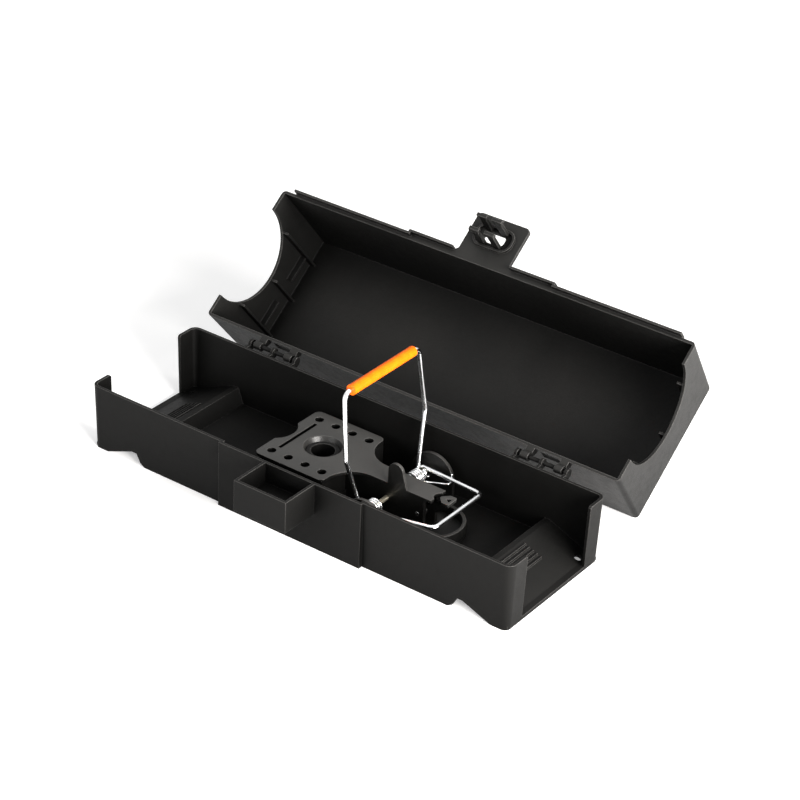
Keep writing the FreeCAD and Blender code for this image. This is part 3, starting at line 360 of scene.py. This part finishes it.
def make_world(ambient):
    """A dim room that is white where it is seen."""
    world = bpy.data.worlds.new("studio")
    world.use_nodes = True
    tree = world.node_tree
    tree.nodes.clear()
    out = tree.nodes.new("ShaderNodeOutputWorld")
    room = tree.nodes.new("ShaderNodeBackground")
    room.inputs["Color"].default_value = (1, 1, 1, 1)
    room.inputs["Strength"].default_value = ambient
    white = tree.nodes.new("ShaderNodeBackground")
    white.inputs["Color"].default_value = (1, 1, 1, 1)
    white.inputs["Strength"].default_value = 1.0
    mix = tree.nodes.new("ShaderNodeMixShader")
    tree.links.new(rays_that_see(tree), mix.inputs[0])
    tree.links.new(room.outputs[0], mix.inputs[1])
    tree.links.new(white.outputs[0], mix.inputs[2])
    tree.links.new(mix.outputs[0], out.inputs["Surface"])
    bpy.context.scene.world = world


def make_camera(settings):
    """The camera, turned round the station, raised, and leant by its roll."""
    turn, rise, lean = settings.azimuth, settings.elevation, settings.roll
    back = Vector((math.sin(turn) * math.cos(rise), -math.cos(turn) * math.cos(rise), math.sin(rise)))
    level = Vector((math.cos(turn), math.sin(turn), 0))
    upright = back.cross(level)
    right = level * math.cos(lean) + upright * math.sin(lean)
    up = upright * math.cos(lean) - level * math.sin(lean)
    data = bpy.data.cameras.new("camera")
    data.lens = settings.lens
    data.sensor_width = SENSOR_WIDTH
    camera = bpy.data.objects.new("camera", data)
    stand = Matrix.Translation(Vector(CAMERA_AIM) + back * settings.distance)
    camera.matrix_world = stand @ Matrix((right, up, back)).transposed().to_4x4()
    bpy.context.collection.objects.link(camera)
    bpy.context.scene.camera = camera


# ---------------------------------------------------------------- add-on classes
class StationSettings(bpy.types.PropertyGroup):
    """The tones, grains and sizes of the looks, the light and the camera"""
    plastic_tone: bpy.props.FloatProperty(
        name="Plastic tone", description="How light the black plastic is",
        default=0.007, min=0.0, max=1.0, subtype="FACTOR")
    plastic_roughness: bpy.props.FloatProperty(
        name="Plastic roughness", description="How matt the moulded plastic is",
        default=0.5, min=0.05, max=1.0, subtype="FACTOR")
    plastic_shine: bpy.props.FloatProperty(
        name="Plastic shine", description="How strongly the plastic mirrors light",
        default=0.24, min=0.0, max=1.0, subtype="FACTOR")
    edge_radius: bpy.props.FloatProperty(
        name="Edge radius", description="How wide the plastic's rounded edges look",
        default=0.0006, min=0.0, precision=5, subtype="DISTANCE")
    # strength of the painted highlight on the plastic's edges
    edge_highlight: bpy.props.FloatProperty(
        name="Edge highlight", description="How pale the plastic's edges are",
        default=0.8, min=0.0, max=1.0, subtype="FACTOR")
    # how far off a wall the painted shade in a hollow reaches
    painted_shade_reach: bpy.props.FloatProperty(
        name="Hollow reach", description="How far off a wall still darkens a hollow",
        default=0.12, min=0.0, subtype="DISTANCE")
    grain_scale: bpy.props.FloatProperty(
        name="Grain scale", description="How fine the moulded grain is, in grains a metre",
        default=1800.0, min=1.0)
    grain_depth: bpy.props.FloatProperty(
        name="Grain depth", description="Depth of the moulded grain",
        default=0.00006, min=0.0, precision=6, subtype="DISTANCE")
    wire_tint: bpy.props.FloatVectorProperty(
        name="Wire tint", description="Colour of the bright wires",
        default=(0.95, 0.96, 0.97), min=0.0, max=1.0, size=3, subtype="COLOR")
    grip_colour: bpy.props.FloatVectorProperty(
        name="Grip colour", description="Colour of the handle's sleeve",
        default=(0.84, 0.115, 0.0008), min=0.0, max=1.0, size=3, subtype="COLOR")
    grip_mottle: bpy.props.FloatVectorProperty(
        name="Grip mottle", description="Paler colour mottled into the sleeve",
        default=(0.9, 0.155, 0.0016), min=0.0, max=1.0, size=3, subtype="COLOR")
    coil_steps: bpy.props.IntProperty(
        name="Coil steps", description="Points in each turn of a spring", default=24, min=8)
    azimuth: bpy.props.FloatProperty(
        name="Azimuth", description="How far round from the front the camera stands",
        default=math.radians(35.052), subtype="ANGLE")
    elevation: bpy.props.FloatProperty(
        name="Elevation", description="How far above level the camera looks from",
        default=math.radians(30.436), subtype="ANGLE")
    roll: bpy.props.FloatProperty(
        name="Roll", description="How far the camera leans",
        default=math.radians(2.755), subtype="ANGLE")
    distance: bpy.props.FloatProperty(
        name="Distance", description="From the camera to the point that it aims at",
        default=1.419341, min=0.1, subtype="DISTANCE")
    lens: bpy.props.FloatProperty(
        name="Lens", description="Focal length", default=116.61, min=1.0, unit="CAMERA")
    ambient: bpy.props.FloatProperty(
        name="Ambient", description="Strength of the light from the room", default=0.12, min=0.0)
    paper_glow: bpy.props.FloatProperty(
        name="Paper glow", description="How much the white paper glows where it is seen",
        default=0.36, min=0.0)


class STATION_OT_plastics(bpy.types.Operator):
    """Finishes the tray, the lid, the trap's base, the cup and the pedal in moulded plastic"""
    bl_idname = "station.plastics"
    bl_label = "Finish Plastics"

    def execute(self, context):
        settings = context.scene.station
        for node, (name, gloss) in PLASTIC_NODES.items():
            finish_piece(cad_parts[node], plastic_material(name, gloss, settings))
        return {"FINISHED"}


class STATION_OT_wires(bpy.types.Operator):
    """Finishes the handle, the striker, the pin and the axle in metal"""
    bl_idname = "station.wires"
    bl_label = "Finish Wires"

    def execute(self, context):
        tint = context.scene.station.wire_tint
        for node in WIRE_NODES:
            finish_piece(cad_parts[node], wire_material("bright_" + node, tint, 0.12))
        finish_piece(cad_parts["axle_rod"], wire_material("pale_brass", BRASS_TINT, 0.28))
        return {"FINISHED"}


class STATION_OT_springs(bpy.types.Operator):
    """Winds both torsion springs, each bent between the station and the bail"""
    bl_idname = "station.springs"
    bl_label = "Wind Springs"

    def execute(self, context):
        coil_steps = context.scene.station.coil_steps
        material = wire_material("spring_steel", SPRING_TINT, 0.12)
        for name, side in (("front", -1), ("rear", 1)):
            piece = wind_spring("wound_spring_" + name, side, coil_steps)
            finish_piece(piece, material)
            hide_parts("torsion_spring_" + name)
            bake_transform(piece)
        return {"FINISHED"}


class STATION_OT_grip(bpy.types.Operator):
    """Finishes the handle's sleeve in orange rubber"""
    bl_idname = "station.grip"
    bl_label = "Finish Grip"

    def execute(self, context):
        finish_piece(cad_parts["grip_sleeve"], grip_material("orange_sleeve", context.scene.station))
        return {"FINISHED"}


class STATION_OT_stage(bpy.types.Operator):
    """Sets up the paper floor, the soft lights, the room and the camera"""
    bl_idname = "station.stage"
    bl_label = "Set Up Stage"

    def execute(self, context):
        settings = context.scene.station
        mesh = bpy.data.meshes.new("paper")
        form = bmesh.new()
        bmesh.ops.create_grid(form, x_segments=8, y_segments=8, size=PAPER_SIZE)
        form.to_mesh(mesh)
        form.free()
        paper = bpy.data.objects.new("paper_floor", mesh)
        context.collection.objects.link(paper)
        finish_piece(paper, floor_material(settings.paper_glow))
        for softbox in SOFTBOXES:
            add_softbox(*softbox)
        make_world(settings.ambient)
        make_camera(settings)
        context.scene.view_settings.view_transform = "Standard"
        return {"FINISHED"}


class STATION_PT_panel(bpy.types.Panel):
    """Buttons and settings for the station's looks"""
    bl_idname = "STATION_PT_panel"
    bl_label = "Mouse-Trap Station"
    bl_space_type = "VIEW_3D"
    bl_region_type = "UI"
    bl_category = "Station"

    def draw(self, context):
        settings = context.scene.station
        for name in StationSettings.__annotations__:
            self.layout.prop(settings, name)
        for step in STEPS:
            self.layout.operator(step.bl_idname)


STEPS = (STATION_OT_plastics, STATION_OT_wires, STATION_OT_springs, STATION_OT_grip, STATION_OT_stage)
CLASSES = (StationSettings,) + STEPS + (STATION_PT_panel,)


def register():
    for item in CLASSES:
        bpy.utils.register_class(item)
    bpy.types.Scene.station = bpy.props.PointerProperty(type=StationSettings)


def unregister():
    del bpy.types.Scene.station
    for item in reversed(CLASSES):
        bpy.utils.unregister_class(item)


def main():
    register()
    bpy.ops.station.plastics()
    bpy.ops.station.wires()
    bpy.ops.station.springs()
    bpy.ops.station.grip()
    bpy.ops.station.stage()


if __name__ == "__main__":
    main()
